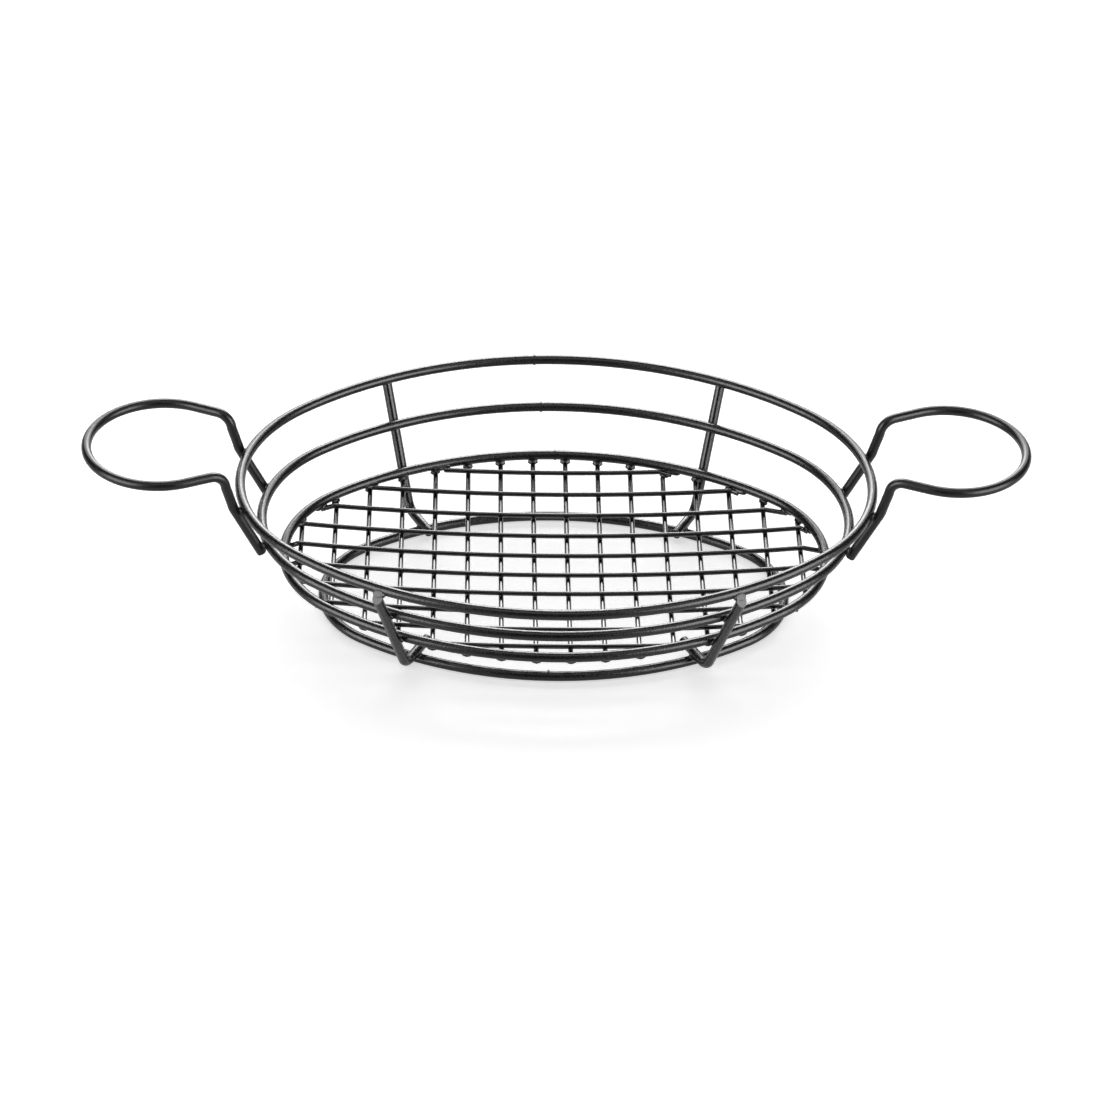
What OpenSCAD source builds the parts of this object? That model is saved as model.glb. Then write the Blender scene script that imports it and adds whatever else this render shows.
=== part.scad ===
// Oval serving basket of welded steel wire with a round cup loop at each end.
// The origin is on the floor under the middle of the basket. X runs along its
// length, Y to its back and Z up. Every size of a ring, a loop or an upright is
// measured on the middle line of its wire, in millimetres.

/* [Wire] */
// Diameter of the frame wire, which makes the rings, uprights and loops
frame_wire = 4; // [3.5:0.25:4.5]
// Diameter of the wire of the floor grid
grid_wire = 2; // [1.5:0.25:2.5]
// Space that the weld fills between two wires that cross
weld_gap = 0.1; // [0.05:0.05:0.3]

/* [Rim] */
// Length of the rim
rim_length = 250; // [240:2:270]
// Width of the rim
rim_width = 179; // [172:1:190]
// Radius of the two ends of the rim
rim_end_radius = 67.5; // [60:0.5:75]
// Height of the rim above the floor
rim_height = 57; // [52:1:70]

/* [Middle ring] */
// Height of the middle ring above the floor
middle_height = 40; // [34:1:46]

/* [Lower ring] */
// Length of the lower ring, which carries the floor grid
lower_length = 217; // [210:1:226]
// Width of the lower ring
lower_width = 140; // [134:1:148]
// Radius of the two ends of the lower ring
lower_end_radius = 50; // [46:0.5:56]
// Height of the lower ring above the floor
lower_height = 22.5; // [20:0.5:28]

/* [Foot ring] */
// Length of the foot ring, which stands on the floor
foot_length = 186; // [176:2:196]
// Width of the foot ring
foot_width = 110; // [104:1:116]
// Radius of the two ends of the foot ring
foot_end_radius = 38; // [34:0.5:44]

/* [Butt welds of the rings] */
// Thickness of the bead that stands proud of the wire at a ring's joint
bead_height = 0.25; // [0.2:0.05:0.6]
// Length of that bead along the ring
bead_length = 0.9; // [0.8:0.1:2]
// Place of the rim's joint along the back
rim_joint = -8; // [-20:1:20]
// Place of the middle ring's joint along the back
middle_joint = -5; // [-20:1:20]
// Place of the lower ring's joint along the back
lower_joint = 1; // [-4:1:4]
// Place of the foot ring's joint along the front
foot_joint = -3; // [-20:1:20]

/* [Uprights] */
// Distance from a left to a right upright where they touch the rim
upright_top_spacing = 135; // [120:1:144]
// Distance from a left to a right upright where they touch the lower ring
upright_low_spacing = 121; // [108:1:128]
// Length of the upright above its weld to the rim
upright_end = 1.2; // [0.8:0.1:3]
// Radius of the bend at an upright's foot
foot_bend = 7; // [5:0.5:9]
// Angle between the arm at the foot and the width of the basket
arm_angle = 27; // [15:1:35]
// Length of the arm past the middle line of the foot ring
arm_tail = 8; // [4:0.5:12]

/* [Cup loops] */
// Diameter of a loop
loop_diameter = 58.5; // [50:0.5:64]
// Height of the loops above the floor
loop_height = 73; // [70:0.5:85]
// Distance from the end of the rim to the middle of a loop
loop_reach = 30.5; // [28:0.5:40]
// Distance between the two legs of a loop
leg_spacing = 42; // [34:1:46]
// Distance from the end of the rim to the bend at the top of a leg
leg_reach = 5; // [4:0.5:7]
// Radius of the bend at the top of a leg
leg_bend = 6; // [4:0.5:7]
// Radius of the slight bend above the rim
kink_bend = 10; // [6:1:14]
// Height of that slight bend above the rim
kink_rise = 4; // [3:0.5:6]
// Height that a leg reaches below the middle ring
leg_tail = 4; // [3:0.5:8]

/* [Floor grid] */
// Number of wires along the length of the floor
long_wires = 10; // [8:2:10]
// Number of wires across the floor
cross_wires = 16; // [12:2:16]
// Space between the side of the lower ring and the first wire along the length
side_space = 10.1; // [8:0.1:12]
// Space between the end of the lower ring and the first wire across, on average
end_space = 7.8; // [7.5:0.1:11]
// Distance of the wires across from an even place between the two ends
grid_shift = -1.4; // [-2:0.1:2]
// Depth of the dish that the floor forms
dish_depth = 5.9; // [4:0.1:8]
// Distance from the middle line of the lower ring in to the end of a wire across
grid_tuck = 1; // [0:0.1:1.2]
// Length of a long wire from its last crossing to the bend down, at least
dive_start = 0.8; // [0.6:0.1:1.6]
// Length of a long wire from that bend to the middle line of the lower ring, at most
dive_run = 9; // [8:0.5:12]
// Radius of that bend
dive_bend = 1.8; // [1.5:0.1:2.4]
// Length of a long wire past the place where it touches the lower ring
dive_tail = 0.6; // [0:0.1:1]

/* [Hidden] */
$fn = 72;

// Where a straight length of wire runs on into a bent one, the two overlap by lap,
// and the bent one is thinner by draw_down, as a bent wire is.
lap = 0.05;
draw_down = 0.03;
function lap_angle(r) = lap / r * 180 / PI;

// Distance between the middle lines of two wires that are welded across each other
frame_on_frame = frame_wire + weld_gap;
grid_on_frame = (frame_wire + grid_wire) / 2 + weld_gap;
grid_on_grid = grid_wire + weld_gap * 1.5;

// A ring is [half length, half width, end radius, side radius, height]: an oval
// of four arcs that run into each other without a corner.
function side_radius(a, b, r) = (a * a + b * b - 2 * a * r) / (2 * (b - r));
function end_radius(a, b, side) = (a * a + b * b - 2 * side * b) / (2 * (a - side));
function oval(a, b, r, z) = [a, b, r, side_radius(a, b, r), z];

// Place of the end arcs' centres on X and of the side arcs' centres on Y, and
// the angle at which an end arc gives way to a side arc
function end_centre(ring) = ring[0] - ring[2];
function side_centre(ring) = ring[1] - ring[3];
function join_angle(ring) = atan2(-side_centre(ring), end_centre(ring));
function in_end(ring, x, y) =
    x > end_centre(ring) && y < (x - end_centre(ring)) * tan(join_angle(ring));

// Direction out of the oval, and distance inside its middle line, at a point of
// the first quarter
function outward(ring, x, y) =
    let (v = in_end(ring, x, y) ? [x - end_centre(ring), y] : [x, y - side_centre(ring)])
    v / norm(v);
function inset(ring, x, y) =
    in_end(ring, x, y) ? ring[2] - norm([x - end_centre(ring), y])
                       : ring[3] - norm([x, y - side_centre(ring)]);

// Half width at x, and half length at y, of the oval that lies a distance d inside
function half_width(ring, x, d = 0) =
    x < end_centre(ring) + (ring[2] - d) * cos(join_angle(ring))
        ? side_centre(ring) + sqrt(pow(ring[3] - d, 2) - x * x)
        : sqrt(max(0, pow(ring[2] - d, 2) - pow(x - end_centre(ring), 2)));
function half_length(ring, y, d = 0) =
    y < (ring[2] - d) * sin(join_angle(ring))
        ? end_centre(ring) + sqrt(pow(ring[2] - d, 2) - y * y)
        : sqrt(max(0, pow(ring[3] - d, 2) - pow(y - side_centre(ring), 2)));

rim = oval(rim_length / 2, rim_width / 2, rim_end_radius, rim_height);
lower = oval(lower_length / 2, lower_width / 2, lower_end_radius, lower_height);
foot = oval(foot_length / 2, foot_width / 2, foot_end_radius, frame_wire / 2);

// An upright is a straight line over the outside of the rim and the lower ring.
upright_x = [upright_top_spacing / 2, upright_low_spacing / 2];
rim_touch = [upright_x[0], half_width(rim, upright_x[0])];
lower_touch = [upright_x[1], half_width(lower, upright_x[1])];
rim_out = outward(rim, rim_touch[0], rim_touch[1]);
lower_out = outward(lower, lower_touch[0], lower_touch[1]);
wall_slope = (rim_touch - lower_touch) / (rim_height - lower_height);
function beside(slope) = frame_on_frame * sqrt(1 + slope * slope);
upright_rim = rim_touch + rim_out * beside(wall_slope * rim_out);
upright_lower = lower_touch + lower_out * beside(wall_slope * lower_out);
upright_slope = (upright_rim - upright_lower) / (rim_height - lower_height);
function on_upright(z) =
    let (p = upright_lower + upright_slope * (z - lower_height)) [p[0], p[1], z];

// The middle ring lies between the rim and the lower ring, against that line.
middle_share = (rim_height - middle_height) / (rim_height - lower_height);
middle_side = rim[3] + (lower[3] - rim[3]) * middle_share;
middle_touch = on_upright(middle_height);
middle_beside = beside(upright_slope * (rim_out + lower_out) / 2);
middle_b = middle_side + middle_touch[1]
    - sqrt(pow(middle_side + middle_beside, 2) - pow(middle_touch[0], 2));
middle_a = rim[0] + (lower[0] - rim[0]) * middle_share;
middle = oval(middle_a, middle_b, end_radius(middle_a, middle_b, middle_side), middle_height);

// The arm at an upright's foot lies on the foot ring and ends inside it.
arm_z = frame_wire / 2 + frame_on_frame;
knee = on_upright(arm_z);
arm_way = [-sin(arm_angle), -cos(arm_angle)];
knee_to_centre = [knee[0], knee[1] - side_centre(foot)];
knee_along = knee_to_centre * arm_way;
arm_to_ring = -knee_along
    - sqrt(pow(knee_along, 2) - knee_to_centre * knee_to_centre + foot[3] * foot[3]);
arm_length = arm_to_ring + arm_tail;

// A leg of a loop runs down the outside of the rim and the middle ring.
leg_y = leg_spacing / 2;
function leg_x(ring, d) = end_centre(ring) + sqrt(pow(ring[2] + d, 2) - leg_y * leg_y);
leg_slope_first = (leg_x(rim, frame_on_frame) - leg_x(middle, frame_on_frame))
    / (rim_height - middle_height);
leg_beside = beside(leg_slope_first * outward(rim, leg_x(rim, 0), leg_y)[0]);
leg_slope = (leg_x(rim, leg_beside) - leg_x(middle, leg_beside)) / (rim_height - middle_height);
function on_leg(z) = [leg_x(rim, leg_beside) + leg_slope * (z - rim_height), leg_y, z];

loop_x = rim[0] + loop_reach;
loop_r = loop_diameter / 2;
leg_top = [rim[0] + leg_reach, leg_y, loop_height];
leg_offset = [loop_x - leg_top[0], leg_y];
loop_open = atan2(leg_offset[1], leg_offset[0]) + acos(loop_r / norm(leg_offset));
loop_end = [loop_x - loop_r * cos(loop_open), loop_r * sin(loop_open), loop_height];

// The floor is a dish: every wire along it has one radius and every wire across
// it another, so that the two layers touch at each crossing.
function dish_radius(half) = (half * half + dish_depth * dish_depth) / (2 * dish_depth);
function rise(radius, d) = radius - sqrt(radius * radius - d * d);
long_radius = dish_radius(lower[0]);
cross_radius = dish_radius(lower[1]);
long_pitch = (lower_width - 2 * side_space) / (long_wires - 1);
cross_pitch = (lower_length - 2 * end_space) / (cross_wires - 1);
function long_y(i) = (i - (long_wires + 1) / 2) * long_pitch;
function cross_x(i) = (i - (cross_wires + 1) / 2) * cross_pitch + grid_shift;

// The dish is as high as the ends of the wires across it can go under the lower
// ring. What touches the ring first is the round edge of such an end.
ring_room = frame_wire / 2 + weld_gap;
function edge_inset(x, angle) =
    grid_tuck - grid_wire / 2 * sin(angle) * outward(lower, x, half_width(lower, x, grid_tuck))[0];
function end_drop(x) = max([for (angle = [0:10:90])
    grid_wire / 2 * cos(angle) + sqrt(max(0, pow(ring_room, 2) - pow(edge_inset(x, angle), 2)))]);
function end_rise(x) = rise(long_radius, x) + rise(cross_radius, half_width(lower, x, grid_tuck));
dish_z = lower_height
    - max([for (i = [1:cross_wires]) end_drop(abs(cross_x(i))) + end_rise(abs(cross_x(i)))]);
function long_z(x, y) = dish_z + grid_on_grid + rise(long_radius, x) + rise(cross_radius, y);

// In what follows y is the distance of a long wire from the middle, side is -1
// for its left and 1 for its right end, and x is measured towards that end. A
// long wire crosses over each cross wire where it is clear of the lower ring.
function is_clear(x, y) =
    inset(lower, x, y) > 0 && norm([inset(lower, x, y), lower_height - long_z(x, y)]) > grid_on_frame;
function last_crossing(y, side) = max([for (i = [1:cross_wires])
    let (x = side * cross_x(i)) if (x > 0 && is_clear(x, y)) x]);

// It then bends down and runs in a straight line under the ring, unless it has no
// room for that or a cross wire lies close to the ring there.
beside_ring = frame_wire / 2 + grid_wire * 0.15;
function shoulder_x(y, side) = max(last_crossing(y, side) + dive_start, half_length(lower, y) - dive_run);
function across_ring(y) = outward(lower, half_length(lower, y), y)[0];
function to_ring(y, side) =
    [(half_length(lower, y) - shoulder_x(y, side)) * across_ring(y),
     lower_height - long_z(shoulder_x(y, side), y)];
function by_ring(y, side) = [for (i = [1:cross_wires])
    let (x = side * cross_x(i))
    if (x > last_crossing(y, side) + lap && half_width(lower, x, grid_tuck) > y - grid_wire
        && inset(lower, x, y) < beside_ring) x];
function dives(y, side) = norm(to_ring(y, side)) > grid_on_frame + 2 * weld_gap && len(by_ring(y, side)) == 0;

// Without that bend it ends at the inner side of the ring.
function end_room(y) = ring_room + weld_gap + grid_wire / 2 * sqrt(1 - pow(across_ring(y), 2));
function end_sink(y) = lower_height - long_z(half_length(lower, y, end_room(y)), y);
function stub_x(y) = half_length(lower, y, sqrt(pow(end_room(y), 2) - pow(end_sink(y), 2)));

// A cross wire ends under the lower ring, or beside an upright or a long wire that
// bends down in its way.
function blocking(x, side) = [for (i = [1:long_wires])
    let (y = long_y(i))
    if (y > 0 && x > last_crossing(y, side) + lap && y - grid_wire < half_width(lower, x, grid_tuck)
        && dives(y, side)) y - grid_wire / 2 - weld_gap];
upright_by_grid = on_upright(lower_height - grid_on_frame - grid_wire / 2);
upright_face = upright_by_grid[1] - frame_wire / 2 * sqrt(1 + upright_slope * upright_slope);
function upright_stop(x) =
    abs(x - upright_by_grid[0]) < grid_on_frame ? [upright_face - weld_gap] : [];
function cross_half(x, side) =
    min(concat([half_width(lower, x, grid_tuck)], blocking(x, side), upright_stop(x)));

function unit(v) = v / norm(v);
function turn(a, b, c) = acos(unit(b - a) * unit(c - b));

// Straight wire from p to q
module straight_wire(p, q, d) {
    v = q - p;
    translate(p)
        rotate([0, acos(v[2] / norm(v)), atan2(v[1], v[0])])
            cylinder(h = norm(v), d = d);
}

// Bend of radius r where a wire that runs from a to b turns towards c
module wire_bend(a, b, c, r, d) {
    way = unit(b - a);
    axis = unit(cross(way, c - b));
    in = cross(axis, way);
    start = b - way * r * tan(turn(a, b, c) / 2);
    centre = start + in * r;
    multmatrix([[-in[0], way[0], axis[0], centre[0]],
                [-in[1], way[1], axis[1], centre[1]],
                [-in[2], way[2], axis[2], centre[2]],
                [0, 0, 0, 1]])
        rotate([0, 0, -lap_angle(r)])
            rotate_extrude(angle = turn(a, b, c) + 2 * lap_angle(r))
                translate([r, 0]) circle(d = d - draw_down);
}

// Wire along the points p, with a bend of its own radius at each inner point
module bent_wire(p, bends, d) {
    last = len(p) - 1;
    cuts = [for (i = [0:last])
        i == 0 || i == last ? 0 : bends[i - 1] * tan(turn(p[i - 1], p[i], p[i + 1]) / 2)];
    for (i = [0:last - 1]) {
        way = unit(p[i + 1] - p[i]);
        straight_wire(p[i] + way * cuts[i], p[i + 1] - way * cuts[i + 1], d);
    }
    for (i = [1:last - 1])
        wire_bend(p[i - 1], p[i], p[i + 1], bends[i - 1], d);
}

// Arc of wire of radius r about Z, from one angle to another
module wire_arc(r, from, to, d) {
    rotate([0, 0, from])
        rotate_extrude(angle = to - from, $fn = 180)
            translate([r, 0]) circle(d = d, $fn = 72);
}

// Ring of frame wire with the bead of its butt weld at x = joint on its back. The
// bead sits higher than the wire by lift.
module wire_ring(ring, joint, lift = 0) {
    th = join_angle(ring);
    bead = bead_length / ring[3] * 180 / PI;
    at = 90 - asin(joint / ring[3]);
    translate([0, 0, ring[4]]) {
        translate([end_centre(ring), 0]) wire_arc(ring[2], -th, th, frame_wire);
        translate([-end_centre(ring), 0]) wire_arc(ring[2], 180 - th, 180 + th, frame_wire);
        for (side = [0, 180])
            rotate([0, 0, side])
                translate([0, side_centre(ring)])
                    wire_arc(ring[3], th - lap_angle(ring[3]), 180 - th + lap_angle(ring[3]),
                             frame_wire - draw_down);
        translate([0, side_centre(ring), lift])
            wire_arc(ring[3], at - bead / 2, at + bead / 2, frame_wire + 2 * bead_height);
    }
}

module rim_ring() {
    color("#2a2a2b") wire_ring(rim, rim_joint);
}

module middle_ring() {
    color("#2a2a2b") wire_ring(middle, middle_joint);
}

module lower_ring() {
    color("#2a2a2b") wire_ring(lower, lower_joint);
}

// The foot ring has its joint at the front, with the bead clear of the floor.
module foot_ring() {
    color("#2a2a2b") mirror([0, 1, 0]) wire_ring(foot, foot_joint, bead_height + 0.1);
}

// Upright of the right back quarter: down the outside of the three rings, then
// inward over the foot ring
module upright() {
    slope = wall_slope * rim_out;
    way = unit([upright_slope[0], upright_slope[1], 1]);
    top = on_upright(rim_height) + way * (upright_end - frame_on_frame * slope);
    tip = knee + arm_length * [arm_way[0], arm_way[1], 0];
    bent_wire([top, knee, tip], [foot_bend], frame_wire);
}

module upright_front_left() {
    color("#303031") mirror([1, 0, 0]) mirror([0, 1, 0]) upright();
}

module upright_front_right() {
    color("#303031") mirror([0, 1, 0]) upright();
}

module upright_back_left() {
    color("#303031") mirror([1, 0, 0]) upright();
}

module upright_back_right() {
    color("#303031") upright();
}

// One leg of the right loop, from the end of the round part down to its tip
module loop_leg() {
    points = [loop_end, leg_top, on_leg(rim_height + kink_rise), on_leg(middle_height - leg_tail)];
    bent_wire(points, [leg_bend, kink_bend], frame_wire);
}

// Loop of the right end: a round part that holds a cup, and its two legs
module cup_loop() {
    translate([loop_x, 0, loop_height])
        wire_arc(loop_r, loop_open - 180 - lap_angle(loop_r), 180 - loop_open + lap_angle(loop_r),
                 frame_wire - draw_down);
    loop_leg();
    mirror([0, 1, 0]) loop_leg();
}

module left_cup_loop() {
    color("#2d2d2e") mirror([1, 0, 0]) cup_loop();
}

module right_cup_loop() {
    color("#2d2d2e") cup_loop();
}

// Arc of grid wire in the XZ plane, lowest at the origin, that reaches left and
// right from there
module dish_arc(radius, left, right) {
    translate([0, 0, radius])
        rotate([90, 0, 0])
            rotate([0, 0, -90 - asin(left / radius)])
                rotate_extrude(angle = asin(left / radius) + asin(right / radius), $fn = 720)
                    translate([radius, 0]) circle(d = grid_wire, $fn = 72);
}

// The end of a long wire that bends down, relative to the lowest point of its arc
function shoulder(y, side) = [shoulder_x(y, side), 0, rise(long_radius, shoulder_x(y, side))];
function arc_way(x) = [sqrt(1 - pow(x / long_radius, 2)), 0, x / long_radius];
function dive_angle(v) = asin(grid_on_frame / norm(v)) - atan2(v[1], v[0]);
function dive_way(y, side) =
    let (angle = dive_angle(to_ring(y, side))) [cos(angle) / across_ring(y), 0, -sin(angle)];
function dive_length(y, side) =
    sqrt(pow(norm(to_ring(y, side)), 2) - pow(grid_on_frame, 2)) + dive_tail;
function dive_cut(y, side) =
    let (at = shoulder(y, side), way = arc_way(shoulder_x(y, side)))
    dive_bend * tan(turn(at - way, at, at + dive_way(y, side)) / 2);
function long_reach(y, side) =
    dives(y, side) ? shoulder_x(y, side) - dive_cut(y, side) * arc_way(shoulder_x(y, side))[0] : stub_x(y);

module long_wire_end(y, side) {
    at = shoulder(y, side);
    way = dive_way(y, side);
    wire_bend(at - arc_way(shoulder_x(y, side)), at, at + way, dive_bend, grid_wire);
    straight_wire(at + unit(way) * dive_cut(y, side), at + way * dive_length(y, side), grid_wire);
}

// Wire along the basket, on top of the wires across it
module long_wire(i) {
    y = abs(long_y(i));
    color("#262627")
        translate([0, long_y(i), long_z(0, y)]) {
            dish_arc(long_radius, long_reach(y, -1), long_reach(y, 1));
            if (dives(y, 1)) long_wire_end(y, 1);
            if (dives(y, -1)) mirror([1, 0, 0]) long_wire_end(y, -1);
        }
}

// Wire across the basket, under the wires along it
module cross_wire(i) {
    x = abs(cross_x(i));
    half = cross_half(x, sign(cross_x(i)));
    color("#262627")
        translate([cross_x(i), 0, dish_z + rise(long_radius, x)])
            rotate([0, 0, 90])
                dish_arc(cross_radius, half, half);
}

rim_ring();
middle_ring();
lower_ring();
foot_ring();
upright_front_left();
upright_front_right();
upright_back_left();
upright_back_right();
left_cup_loop();
right_cup_loop();
for (i = [1:long_wires])
    long_wire(i);
for (i = [1:cross_wires])
    cross_wire(i);
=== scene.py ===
"""Dresses the oval wire serving basket: powder coat, weld metal, studio and camera.

The rings and the floor wires are the fixed model's own solids, with a coat. The uprights and
the cup loops are shown as reworked copies of theirs. This script adds the weld metal where
wires cross, and sets the floor, the light and the camera. Lengths are in metres.
"""
import math

import bmesh
import bpy
from mathutils import Matrix, Vector
from mathutils.bvhtree import BVHTree


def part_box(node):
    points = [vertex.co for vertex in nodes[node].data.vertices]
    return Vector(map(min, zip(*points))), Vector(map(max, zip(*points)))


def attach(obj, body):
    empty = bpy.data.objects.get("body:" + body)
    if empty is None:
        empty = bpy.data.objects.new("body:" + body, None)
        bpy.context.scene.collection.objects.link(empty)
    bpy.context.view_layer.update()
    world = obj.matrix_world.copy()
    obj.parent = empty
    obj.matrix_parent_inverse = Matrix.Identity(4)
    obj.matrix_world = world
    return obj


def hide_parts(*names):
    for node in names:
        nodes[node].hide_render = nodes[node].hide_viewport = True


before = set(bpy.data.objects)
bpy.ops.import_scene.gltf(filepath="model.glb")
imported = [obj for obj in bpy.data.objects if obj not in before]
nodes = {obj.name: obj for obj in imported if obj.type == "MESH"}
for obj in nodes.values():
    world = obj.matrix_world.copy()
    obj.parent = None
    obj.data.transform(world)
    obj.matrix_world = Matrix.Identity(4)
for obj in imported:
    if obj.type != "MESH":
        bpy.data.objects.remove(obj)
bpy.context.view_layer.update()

scene = bpy.context.scene
MM = 0.001

RINGS = ["rim_ring", "middle_ring", "lower_ring", "foot_ring"]
UPRIGHTS = ["upright_front_left", "upright_front_right", "upright_back_left", "upright_back_right"]
LOOPS = ["left_cup_loop", "right_cup_loop"]
LONG_WIRES = sorted(name for name in nodes if name.startswith("long_wire_"))
CROSS_WIRES = sorted(name for name in nodes if name.startswith("cross_wire_"))

# Meshes
SAME_POINT = 0.0005 * MM  # vertices this close in a copied mesh are one
MERGE = 0.08 * MM  # vertices this close after a cut are one
SHARP = math.radians(35)  # edges that turn more than this are shaded sharp
CLOSING_STEPS = 60  # steps that find where two wires pass closest

# Top ends of the uprights
WIRE_RADIUS = 2 * MM  # radius of the frame wire
FLUSH_TILT = math.radians(32)  # how far the cut face looks up
FLUSH_DEPTH = 1.94 * MM  # from the rim's middle line out to the cut
FLUSH_STEP = 0.04 * MM  # how much farther out the weld around it is cut

# Legs of the cup loops
LEG_BEND = 57 * MM  # height of the bend, where the legs pass the rim
LEG_TOP = 67 * MM  # height up to which they run straight on
LEG_BLEND = 2.5 * MM  # half the height that the bend takes
LEG_CUT = 0.75 * MM  # height of the slices that are moved over
LEG_SHARE = 0.7  # where the legs stand, as a share of half the loop's width
HAIR = 0.01 * MM  # keeps a height clear of the vertices of a cut
LOOP_VOXEL = 0.25 * MM  # fineness of a loop's skin
LOOP_FLOW = 18  # rounds of smoothing that the skin gets

# Weld metal
WELD_FLOW = 8  # rounds of smoothing
WELD_SINK = 0.06 * MM  # how far it is drawn in, so that only fillets stand out of the wires
FRAME_REACH = 5 * MM  # on the frame: how far a weld reaches from the crossing
FRAME_VOXEL = 0.24 * MM  # fineness of its skin
FRAME_NUGGET = Vector((1.8, 1.8, 1.6)) * MM  # half sizes of its nugget
TOP_NUGGET = Vector((2.7, 1.8, 1.8)) * MM  # half sizes of the nugget at an upright's top end
END_REACH = 3.6 * MM  # at the ends of the floor wires, the same sizes
END_VOXEL = 0.26 * MM
CROSS_END_NUGGET = Vector((2.3, 1.2, 1.15)) * MM
CROSS_END_DROP = 0.85 * MM  # how far the nugget of a cross wire hangs below its end
LONG_END_NUGGET = Vector((2.8, 1.2, 1.1)) * MM
LONG_END_STEP = 1.7 * MM  # how far a long wire's second nugget lies along the ring
CROSSING_NUGGET = Vector((0.55, 0.55, 0.3)) * MM  # half sizes of the nuggets in the grid
CROSSING_SPACE = 0.5 * MM  # wires of the grid farther apart than this get none

# Patterns
DRIFT_MM = 14  # size of the slow change in a coat's shade
FIBRE_MM = 3  # size of the fibre pattern in the paper

# Studio
WHITE_LIFT = 0.62  # how far the camera sees the floor lifted towards white
SHINE_LIFT = 0.4  # the same for the wires' reflections of it
FLOOR_HALF = 6
ROOM_LIGHT = 0.05  # level of the light from all round
WATTS = 4  # watts per square metre of a softbox of level 1

# Camera: a long lens that looks down at the basket from the front.
CAMERA_TARGET = Vector((-2.0, 0.0, 23.6)) * MM
CAMERA_DISTANCE = 1.5
CAMERA_ELEVATION = math.radians(35.35)
CAMERA_AZIMUTH = math.radians(-1.6)
CAMERA_ROLL = math.radians(1.4)
SENSOR_MM = 36
LENS_MM = 122.5
CAMERA_FAR = 20


def make_camera():
    back = Vector((math.sin(CAMERA_AZIMUTH) * math.cos(CAMERA_ELEVATION),
                   -math.cos(CAMERA_AZIMUTH) * math.cos(CAMERA_ELEVATION),
                   math.sin(CAMERA_ELEVATION)))
    level = Vector((math.cos(CAMERA_AZIMUTH), math.sin(CAMERA_AZIMUTH), 0))
    upright = back.cross(level)
    right = math.cos(CAMERA_ROLL) * level + math.sin(CAMERA_ROLL) * upright
    up = back.cross(right)
    data = bpy.data.cameras.new("camera")
    data.lens = LENS_MM
    data.sensor_width = SENSOR_MM
    data.clip_end = CAMERA_FAR
    camera = bpy.data.objects.new("camera", data)
    scene.collection.objects.link(camera)
    turn = Matrix((right, up, back)).transposed().to_4x4()
    camera.matrix_world = Matrix.Translation(CAMERA_TARGET + back * CAMERA_DISTANCE) @ turn
    scene.camera = camera


# Materials


def linear(hex_colour):
    """An sRGB hex colour as the linear RGBA that a shader takes."""
    parts = [int(hex_colour[i:i + 2], 16) / 255 for i in (1, 3, 5)]
    return [c / 12.92 if c <= 0.04045 else ((c + 0.055) / 1.055) ** 2.4 for c in parts] + [1]


def add(tree, kind, inputs, **settings):
    """Add a node with its settings. An input is a plain value or the socket that feeds it."""
    new = tree.nodes.new(kind)
    for key, value in settings.items():
        setattr(new, key, value)
    for key, value in inputs.items():
        if isinstance(value, bpy.types.NodeSocket):
            tree.links.new(value, new.inputs[key])
        else:
            new.inputs[key].default_value = value
    return new


def new_material(name):
    material = bpy.data.materials.new(name)
    material.use_nodes = True
    material.node_tree.nodes.clear()
    return material, material.node_tree


def per_metre(size_mm):
    """The scale of a pattern on Object coordinates whose features are size_mm apart."""
    return 1 / (size_mm * MM)


def powder_coat(name, deep, thin, gloss, matt, peel_mm, peel_depth_mm, grain_mm, grain_depth_mm,
                ior=1.5):
    """Baked powder coat: two close shades of one colour, a soft orange peel and a fine grain."""
    material, tree = new_material(name)
    place = add(tree, "ShaderNodeTexCoord", {}).outputs["Object"]
    drift = add(tree, "ShaderNodeTexNoise", {"Vector": place, "Scale": per_metre(DRIFT_MM), "Detail": 2.0})
    peel = add(tree, "ShaderNodeTexNoise", {"Vector": place, "Scale": per_metre(peel_mm), "Detail": 1.0})
    grain = add(tree, "ShaderNodeTexNoise",
                {"Vector": place, "Scale": per_metre(grain_mm), "Detail": 3.0, "Roughness": 0.6})
    speck = add(tree, "ShaderNodeMapRange",
                {"Value": grain.outputs["Fac"], "From Min": 0.35, "From Max": 0.65})
    blend = add(tree, "ShaderNodeMath",
                {0: drift.outputs["Fac"], 1: speck.outputs["Result"]}, operation="MULTIPLY")
    colour = add(tree, "ShaderNodeMix",
                 {"Factor": blend.outputs["Value"], "A": linear(deep), "B": linear(thin)},
                 data_type="RGBA")
    rough = add(tree, "ShaderNodeMapRange",
                {"Value": grain.outputs["Fac"], "From Min": 0.3, "From Max": 0.7,
                 "To Min": gloss, "To Max": matt})
    waves = add(tree, "ShaderNodeBump",
                {"Height": peel.outputs["Fac"], "Distance": peel_depth_mm * MM, "Strength": 1.0})
    bumps = add(tree, "ShaderNodeBump",
                {"Height": grain.outputs["Fac"], "Distance": grain_depth_mm * MM, "Strength": 1.0,
                 "Normal": waves.outputs["Normal"]})
    shader = add(tree, "ShaderNodeBsdfPrincipled",
                 {"Base Color": colour.outputs["Result"], "Roughness": rough.outputs["Result"],
                  "Normal": bumps.outputs["Normal"], "IOR": ior, "Metallic": 0.0})
    add(tree, "ShaderNodeOutputMaterial", {"Surface": shader.outputs["BSDF"]})
    return material


# Semi-gloss black polyester powder coat, sprayed and baked on 4 mm drawn wire. It gives soft
# broad highlights that a fine grain breaks up.
ring_coat = powder_coat("semi_gloss_powder_coat_on_rings", "#070708", "#101011",
                        0.22, 0.34, 1.7, 0.030, 0.60, 0.050)

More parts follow.
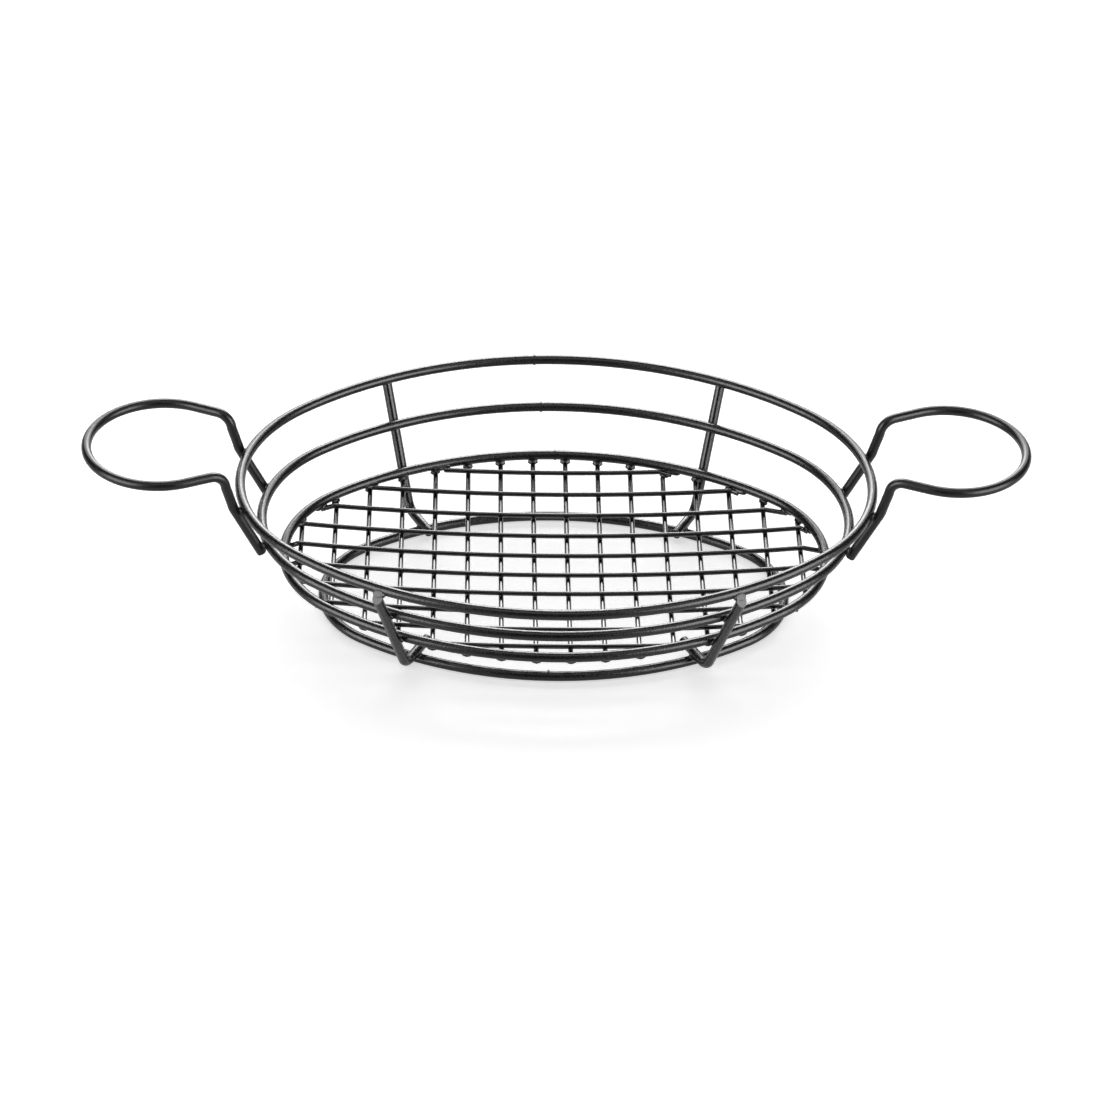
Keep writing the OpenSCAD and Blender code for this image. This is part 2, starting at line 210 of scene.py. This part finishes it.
# The same coat on the straight bars, where it lies a little thicker and smoother.
upright_coat = powder_coat("semi_gloss_powder_coat_on_uprights", "#070708", "#111112",
                           0.22, 0.34, 1.9, 0.032, 0.62, 0.048)

# The same coat on the bent loops, where hands and cups have rubbed its shine off a little.
loop_coat = powder_coat("semi_gloss_powder_coat_on_loops", "#060607", "#0f0f10",
                        0.26, 0.38, 1.8, 0.026, 0.58, 0.036, 1.43)

# The coat on the 2 mm floor wires draws thin and level, so their highlights are narrow lines.
grid_coat = powder_coat("semi_gloss_powder_coat_on_floor_wires", "#060607", "#0e0e0f",
                        0.12, 0.20, 1.2, 0.010, 0.45, 0.012, 1.65)

# Powder coat over weld metal: it gathers in the corners and follows the lumps below.
weld_coat = powder_coat("powder_coat_over_weld_metal", "#060607", "#0e0e0f",
                        0.24, 0.36, 1.1, 0.020, 0.60, 0.028)


def coat(names, material):
    """Coat the nodes of these names."""
    for name in names:
        data = nodes[name].data
        data.materials.clear()
        data.materials.append(material)


# Tools for wires and welds

# The pieces that stand for a wire's node, by the node's name
dressed = {}


def merged_copy(name):
    """A closed copy of a wire's mesh, as it is dressed."""
    shape = bmesh.new()
    shape.from_mesh(dressed.get(name, nodes[name]).data)
    bmesh.ops.remove_doubles(shape, verts=shape.verts, dist=SAME_POINT)
    return shape


# Search trees of the wires, each made when it is first asked for
wire_trees = {}


def wire_tree(name):
    if name not in wire_trees:
        shape = merged_copy(name)
        wire_trees[name] = BVHTree.FromBMesh(shape)
        shape.free()
    return wire_trees[name]


def contact(first, second, start):
    """The point halfway between two wires where they pass closest, near start."""
    on_second = Vector(start)
    for _ in range(CLOSING_STEPS):
        on_first = wire_tree(first).find_nearest(on_second)[0]
        on_second = wire_tree(second).find_nearest(on_first)[0]
    return (on_first + on_second) / 2


def cut_off(shape, point, way):
    """Cut off what lies beyond a plane, and close the cut."""
    everything = shape.verts[:] + shape.edges[:] + shape.faces[:]
    cut = bmesh.ops.bisect_plane(shape, geom=everything, plane_co=point, plane_no=way, clear_outer=True)
    rim = [item for item in cut["geom_cut"] if isinstance(item, bmesh.types.BMEdge)]
    if rim:
        bmesh.ops.holes_fill(shape, edges=rim)


def keep_near(shape, centre, reach):
    """Cut a shape down to the part within reach of centre."""
    for axis in (Vector((1, 0, 0)), Vector((0, 1, 0)), Vector((0, 0, 1))):
        for side in (-1, 1):
            cut_off(shape, centre + axis * side * reach, axis * side)


def new_piece(name, shape, material):
    """Make a piece of a shape. It rides on the basket."""
    mesh = bpy.data.meshes.new(name)
    shape.to_mesh(mesh)
    shape.free()
    mesh.materials.append(material)
    mesh.shade_smooth()
    piece = bpy.data.objects.new(name, mesh)
    scene.collection.objects.link(piece)
    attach(piece, "root")
    return piece


def bake_modifiers(piece):
    """Give a piece the mesh that its modifiers make of it."""
    depsgraph = bpy.context.evaluated_depsgraph_get()
    mesh = bpy.data.meshes.new_from_object(piece.evaluated_get(depsgraph))
    piece.modifiers.clear()
    old = piece.data
    piece.data = mesh
    bpy.data.meshes.remove(old)
    mesh.name = piece.name


def run_together(piece, voxel, flow, sink):
    """Make one smooth skin of a piece, and draw it in by sink."""
    remesh = piece.modifiers.new("run together", "REMESH")
    remesh.mode = "VOXEL"
    remesh.voxel_size = voxel
    smooth = piece.modifiers.new("flow", "SMOOTH")
    smooth.factor = 0.5
    smooth.iterations = flow
    inwards = piece.modifiers.new("sink", "DISPLACE")
    inwards.mid_level = 0
    inwards.strength = -sink
    bake_modifiers(piece)
    piece.data.shade_smooth()


def keep_ends_crisp(piece):
    """Shade the flanks of a cut wire round and its ends flat."""
    piece.data.set_sharp_from_angle(angle=SHARP)
    normals = piece.modifiers.new("even normals", "WEIGHTED_NORMAL")
    normals.mode = "FACE_AREA"
    normals.keep_sharp = True
    bake_modifiers(piece)


def dress_wire(piece, wire):
    """Show a piece in place of a wire's node."""
    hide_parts(wire)
    dressed[wire] = piece


def add_nugget(shape, centre, radii, along):
    """Add a ball of weld metal, drawn out along one direction and flattened in Z."""
    turn = along.to_track_quat("X", "Z").to_matrix().to_4x4()
    place = Matrix.Translation(centre) @ turn @ Matrix.Diagonal((*radii, 1))
    bmesh.ops.create_icosphere(shape, subdivisions=3, radius=1, matrix=place)


def weld(name, wires, centre, nuggets, reach, voxel, flush=None):
    """Weld metal at a crossing: the wires and the nuggets run together and smoothed, so that
    what stands out of the wires is a fillet around the crossing. It can be cut flush."""
    shape = bmesh.new()
    for wire in wires:
        part = merged_copy(wire)
        keep_near(part, centre, reach)
        mesh = bpy.data.meshes.new("part")
        part.to_mesh(mesh)
        part.free()
        shape.from_mesh(mesh)
        bpy.data.meshes.remove(mesh)
    for nugget in nuggets:
        add_nugget(shape, *nugget)
    piece = new_piece(name, shape, weld_coat)
    run_together(piece, voxel, WELD_FLOW, WELD_SINK)
    if flush:
        middle, face = flush
        shape = bmesh.new()
        shape.from_mesh(piece.data)
        cut_off(shape, middle + face * (FLUSH_DEPTH + FLUSH_STEP), face)
        shape.to_mesh(piece.data)
        shape.free()
        piece.data.set_sharp_from_angle(angle=SHARP)


def outer_corner(name):
    """The corner of a node's box that lies farthest from the middle, at floor height."""
    low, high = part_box(name)
    return Vector((high.x if high.x > -low.x else low.x, high.y if high.y > -low.y else low.y, 0))


def ring_height(ring):
    low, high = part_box(ring)
    return (low.z + high.z) / 2


def by_upright(ring, upright):
    """Where an upright passes a ring."""
    corner = outer_corner(upright)
    return contact(ring, upright, Vector((corner.x, corner.y, ring_height(ring))))


def flush_cut(upright):
    """The flat face that the top end of an upright shares with its weld: a point on the
    rim's middle line, and the way that the face looks."""
    touch, normal = wire_tree("rim_ring").find_nearest(by_upright("rim_ring", upright))[:2]
    out = Vector((normal.x, normal.y, 0)).normalized()
    face = out * math.cos(FLUSH_TILT) + Vector((0, 0, math.sin(FLUSH_TILT)))
    return touch - normal * WIRE_RADIUS, face


def dress_uprights():
    """The top end of each upright is cut at a slant, flush with the outside of the rim."""
    cuts = {upright: flush_cut(upright) for upright in UPRIGHTS}
    for upright, (middle, face) in cuts.items():
        shape = merged_copy(upright)
        cut_off(shape, middle + face * FLUSH_DEPTH, face)
        bmesh.ops.remove_doubles(shape, verts=shape.verts, dist=MERGE)
        piece = new_piece(f"{upright}_cut_flush", shape, upright_coat)
        keep_ends_crisp(piece)
        dress_wire(piece, upright)
    return cuts


def leg_middle(shape, height):
    """Distance in X from the middle of the basket to the legs of a cup loop at a height."""
    found = []
    for edge in shape.edges:
        low, high = sorted((vertex.co for vertex in edge.verts), key=lambda point: point.z)
        if low.z < height < high.z:
            found.append(abs(low.lerp(high, (height - low.z) / (high.z - low.z)).x))
    return (min(found) + max(found)) / 2


def bend_legs(shape):
    """Bend the legs of a cup loop where they pass the rim. They are cut into slices, which move
    over from the old middle line to one that runs straight on above the bend."""
    steps = round((LEG_TOP - LEG_BEND + 2 * LEG_BLEND) / LEG_CUT)
    heights = [LEG_BEND - LEG_BLEND + step * LEG_CUT for step in range(steps)]
    for height in heights:
        everything = shape.verts[:] + shape.edges[:] + shape.faces[:]
        bmesh.ops.bisect_plane(shape, geom=everything, plane_co=Vector((0, 0, height)),
                               plane_no=Vector((0, 0, 1)))
    middles = [leg_middle(shape, height + HAIR) for height in heights]
    bend = leg_middle(shape, LEG_BEND + 2 * HAIR)
    below = (bend - middles[0]) / LEG_BLEND
    above = (leg_middle(shape, LEG_TOP) - bend) / (LEG_TOP - LEG_BEND)
    for vertex in shape.verts:
        height = vertex.co.z
        if not heights[0] < height < LEG_TOP:
            continue
        # The slope turns smoothly from the one below the bend to the one above it.
        share = min(1.0, (height - heights[0]) / (2 * LEG_BLEND))
        share = share * share * (3 - 2 * share)
        slope = below + (above - below) * share
        new = bend + (height - LEG_BEND) * slope
        step = min(int((height - heights[0]) / LEG_CUT), len(heights) - 2)
        old_slope = (middles[step + 1] - middles[step]) / LEG_CUT
        old = middles[step] + old_slope * (height - heights[step])
        # A slice gets wider as the slope grows, so that the wire stays as thick as it was.
        width = math.sqrt((1 + slope ** 2) / (1 + old_slope ** 2))
        vertex.co.x = math.copysign(new + (abs(vertex.co.x) - old) * width, vertex.co.x)


def dress_loops():
    """Show the cup loops with legs that bend at the rim, as one smooth skin each."""
    for loop in LOOPS:
        shape = merged_copy(loop)
        bend_legs(shape)
        piece = new_piece(f"{loop}_bent_at_the_rim", shape, loop_coat)
        run_together(piece, LOOP_VOXEL, LOOP_FLOW, 0)
        dress_wire(piece, loop)


def make_frame_welds(cuts):
    """Fillets where the uprights and the legs of the cup loops cross the rings."""
    for upright in UPRIGHTS:
        for ring in RINGS:
            centre = by_upright(ring, upright)
            if ring == "rim_ring":
                along = cuts[upright][1].cross(Vector((0, 0, 1))).normalized()
                nugget = (centre, TOP_NUGGET, along)
                flush = cuts[upright]
            else:
                nugget = (centre, FRAME_NUGGET, Vector((1, 0, 0)))
                flush = None
            weld(f"weld_{ring}_{upright}", (ring, upright), centre, [nugget],
                 FRAME_REACH, FRAME_VOXEL, flush)
    for loop in LOOPS:
        low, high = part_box(loop)
        inner = low.x if low.x > 0 else high.x
        for ring in ("rim_ring", "middle_ring"):
            for side, y in (("front", low.y), ("back", high.y)):
                centre = contact(ring, loop, Vector((inner, y * LEG_SHARE, ring_height(ring))))
                nugget = (centre, FRAME_NUGGET, Vector((0, 1, 0)))
                weld(f"weld_{ring}_{loop}_{side}", (ring, loop), centre, [nugget],
                     FRAME_REACH, FRAME_VOXEL)


def ring_way(point, towards):
    """Direction along the lower ring at a point, on the side that it is asked towards."""
    low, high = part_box("lower_ring")
    way = Vector((-point.y / high.y ** 2, point.x / high.x ** 2, 0)).normalized()
    return way if way.dot(towards) > 0 else -way


def farthest(name, way):
    """The vertex of a node that lies farthest along a direction."""
    return max((vertex.co for vertex in nodes[name].data.vertices), key=way.dot)


def make_end_welds():
    """Weld metal that ties each end of a floor wire to the lower ring. Where a long wire
    meets the ring at a slant, the metal runs on along the ring."""
    for name in LONG_WIRES:
        for side, way in (("left", Vector((-1, 0, 0))), ("right", Vector((1, 0, 0)))):
            centre = contact("lower_ring", name, farthest(name, way))
            along = ring_way(centre, way)
            slant = max(0.0, along.dot(way))
            nuggets = [(centre, LONG_END_NUGGET, along),
                       (centre + along * LONG_END_STEP * slant, LONG_END_NUGGET, along)]
            weld(f"weld_{name}_{side}", ("lower_ring", name), centre, nuggets,
                 END_REACH, END_VOXEL)
    for name in CROSS_WIRES:
        for side, way in (("front", Vector((0, -1, 0))), ("back", Vector((0, 1, 0)))):
            centre = contact("lower_ring", name, farthest(name, way))
            lump = centre - Vector((0, 0, CROSS_END_DROP))
            nugget = (lump, CROSS_END_NUGGET, ring_way(centre, Vector((1, 0, 0))))
            weld(f"weld_{name}_{side}", ("lower_ring", name), centre, [nugget],
                 END_REACH, END_VOXEL)


def make_crossing_welds():
    """A small flat nugget between the two layers of the floor at each crossing."""
    shape = bmesh.new()
    for long_wire in LONG_WIRES:
        low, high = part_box(long_wire)
        y = (low.y + high.y) / 2
        for cross_wire in CROSS_WIRES:
            start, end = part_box(cross_wire)
            x = (start.x + end.x) / 2
            if not (low.x < x < high.x and start.y < y < end.y):
                continue
            above = wire_tree(long_wire).find_nearest(Vector((x, y, 0)))[0]
            below = wire_tree(cross_wire).find_nearest(above)[0]
            if (above - below).length > CROSSING_SPACE:
                continue
            place = Matrix.Translation((above + below) / 2) @ Matrix.Diagonal((*CROSSING_NUGGET, 1))
            bmesh.ops.create_icosphere(shape, subdivisions=2, radius=1, matrix=place)
    new_piece("weld_metal_in_the_grid", shape, weld_coat)


# Studio


def seen_by_camera(tree):
    """The light path, and a value that is 1 for what the camera sees, also through glass."""
    rays = add(tree, "ShaderNodeLightPath", {})
    seen = add(tree, "ShaderNodeMath",
               {0: rays.outputs["Is Camera Ray"], 1: rays.outputs["Is Transmission Ray"]},
               operation="MAXIMUM")
    return rays, seen


def make_floor():
    """Plain white matt paper, which takes the basket's shadow. What the camera sees of it is
    lifted to white, so the basket stands on a plain ground."""
    material, tree = new_material("white_studio_paper")
    rays, seen = seen_by_camera(tree)
    shine = add(tree, "ShaderNodeMath", {0: rays.outputs["Is Glossy Ray"], 1: SHINE_LIFT},
                operation="MULTIPLY")
    place = add(tree, "ShaderNodeTexCoord", {}).outputs["Object"]
    fibre = add(tree, "ShaderNodeTexNoise", {"Vector": place, "Scale": per_metre(FIBRE_MM), "Detail": 4.0})
    shade = add(tree, "ShaderNodeMix",
                {"Factor": fibre.outputs["Fac"], "A": linear("#e9e9ea"), "B": linear("#ececec")},
                data_type="RGBA")
    paper = add(tree, "ShaderNodeBsdfPrincipled",
                {"Base Color": shade.outputs["Result"], "Roughness": 0.9, "Specular IOR Level": 0.1})
    lift = add(tree, "ShaderNodeMath",
               {0: seen.outputs["Value"], 1: WHITE_LIFT, 2: shine.outputs["Value"]},
               operation="MULTIPLY_ADD")
    glow = add(tree, "ShaderNodeEmission", {"Color": [1, 1, 1, 1], "Strength": lift.outputs["Value"]})
    total = add(tree, "ShaderNodeAddShader", {0: paper.outputs["BSDF"], 1: glow.outputs["Emission"]})
    add(tree, "ShaderNodeOutputMaterial", {"Surface": total.outputs["Shader"]})
    shape = bmesh.new()
    bmesh.ops.create_grid(shape, x_segments=2, y_segments=2, size=FLOOR_HALF)
    mesh = bpy.data.meshes.new("floor")
    shape.to_mesh(mesh)
    shape.free()
    mesh.materials.append(material)
    floor = bpy.data.objects.new("floor", mesh)
    scene.collection.objects.link(floor)


def make_world():
    """A room that is white to the camera and almost dark to everything else."""
    world = bpy.data.worlds.new("white_room")
    scene.world = world
    world.use_nodes = True
    tree = world.node_tree
    tree.nodes.clear()
    seen = seen_by_camera(tree)[1]
    strength = add(tree, "ShaderNodeMapRange",
                   {"Value": seen.outputs["Value"], "To Min": ROOM_LIGHT, "To Max": 1.0})
    light = add(tree, "ShaderNodeBackground",
                {"Color": [1, 1, 1, 1], "Strength": strength.outputs["Result"]})
    add(tree, "ShaderNodeOutputWorld", {"Surface": light.outputs["Background"]})


def softbox(name, azimuth, elevation, distance, width, height, level, card=False):
    """A softbox that faces the basket. Azimuth runs from the front round by the right, and
    level is its brightness, where 1 is as bright as white paper in the picture. A card only
    shows as a reflection, and doesn't light the floor."""
    turn = math.radians(azimuth)
    lift = math.radians(elevation)
    way = Vector((math.sin(turn) * math.cos(lift), -math.cos(turn) * math.cos(lift), math.sin(lift)))
    data = bpy.data.lights.new(name, "AREA")
    data.shape = "RECTANGLE"
    data.size = width
    data.size_y = height
    data.energy = WATTS * level * width * height
    lamp = bpy.data.objects.new(name, data)
    scene.collection.objects.link(lamp)
    lamp.visible_diffuse = not card
    lamp.location = way * distance
    lamp.rotation_euler = (-way).to_track_quat("-Z", "Y").to_euler()


make_camera()
scene.view_settings.view_transform = "Standard"
coat(RINGS, ring_coat)
coat(UPRIGHTS, upright_coat)
coat(LOOPS, loop_coat)
coat(LONG_WIRES + CROSS_WIRES, grid_coat)
dress_loops()
make_frame_welds(dress_uprights())
make_end_welds()
make_crossing_welds()
make_floor()
make_world()
# Name, azimuth and elevation in degrees, distance, width and height in metres, level
softbox("back_softbox", 180, 30, 1.2, 1.5, 0.8, 3.5)
softbox("back_card", 180, 29, 1.15, 0.40, 0.7, 6.5, card=True)
softbox("top_softbox", 0, 78, 1.2, 1.2, 0.7, 1.0)
softbox("left_card", -60, 20, 1.3, 1.0, 1.1, 5.2, card=True)
softbox("right_card", 56, 20, 1.3, 1.1, 1.1, 5.6, card=True)
